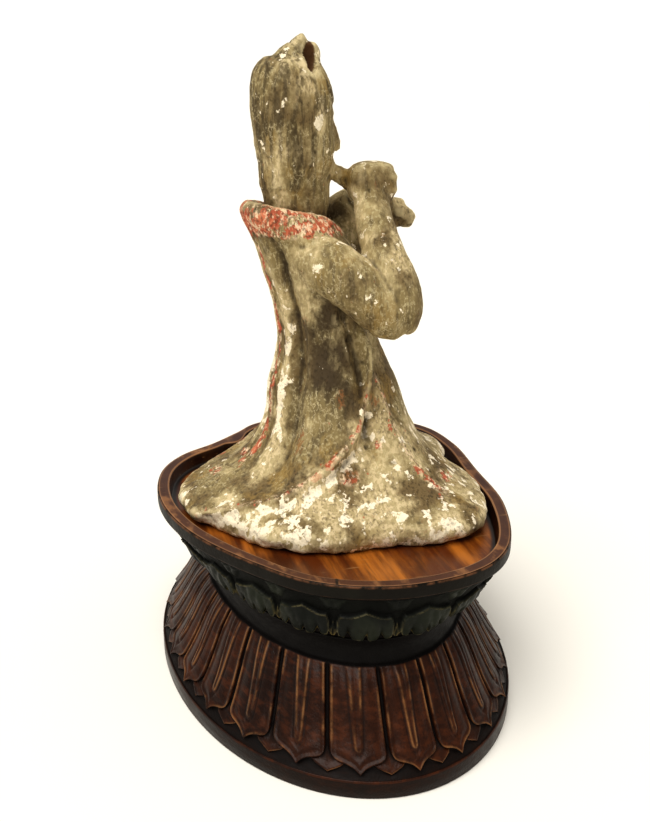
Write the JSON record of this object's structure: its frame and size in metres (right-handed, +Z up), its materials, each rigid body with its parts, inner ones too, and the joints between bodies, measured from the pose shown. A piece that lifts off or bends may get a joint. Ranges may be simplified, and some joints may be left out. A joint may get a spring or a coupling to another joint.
{
  "type": "seated court musician figure on a carved stand",
  "caption": "Kneeling robed musician in fired clay playing an end-blown pipe, seated in a lobed wooden tray on an oval lotus-petal foot.",
  "frame": {"origin": "middle of the oval underside of the wooden foot, on the surface it stands on", "axes": "+Z up, X along the long axis of the foot, the musician faces -Y"},
  "size_m": [0.232, 0.1574, 0.2765],
  "materials": {
    "fired_clay": "matte, worn slip and pigment",
    "tray_wood": "worn varnish",
    "foot_wood": "waxed dark hardwood"
  },
  "bodies": {
    "root": {"figure": "fired_clay", "stand_tray": "tray_wood", "stand_foot": "foot_wood"}
  },
  "joints": []
}
